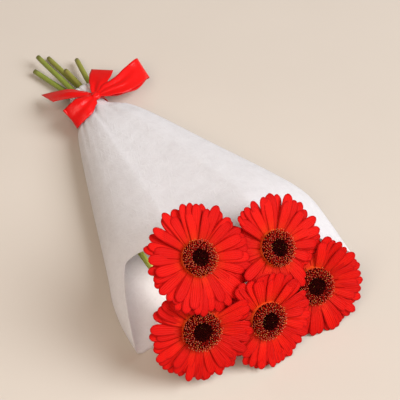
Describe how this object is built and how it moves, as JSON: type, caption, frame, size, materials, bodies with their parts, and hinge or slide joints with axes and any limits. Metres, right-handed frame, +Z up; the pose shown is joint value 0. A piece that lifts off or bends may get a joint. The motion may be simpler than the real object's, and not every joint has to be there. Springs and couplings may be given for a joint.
{
  "type": "wrapped gerbera bouquet",
  "caption": "Bunch of red gerberas with dark eyes, lying in a white paper cone that is tied near the cut stems with a red satin ribbon bow.",
  "frame": {"origin": "centre of the bouquet's footprint on the surface it lies on", "axes": "+Y along the bunch from the blooms to the cut stem ends, +Z up from the surface, +X to the right seen from the blooms' side facing the stems"},
  "size_m": [0.2382, 0.4716, 0.1307],
  "materials": {
    "paper": "matte, long fibres pressed into a soft non-woven sheet",
    "ribbon": "satin",
    "stem": "matte, slightly ribbed",
    "petal": "soft, finely striped lengthwise",
    "disc": "matte, tufted"
  },
  "bodies": {
    "root": {"wrap": "paper", "ribbon": "ribbon", "stem_a": "stem", "petals_a": "petal", "disc_a": "disc", "stem_b": "stem", "petals_b": "petal", "disc_b": "disc", "stem_c": "stem", "petals_c": "petal", "disc_c": "disc", "stem_d": "stem", "petals_d": "petal", "disc_d": "disc", "stem_e": "stem", "petals_e": "petal", "disc_e": "disc"}
  },
  "joints": []
}
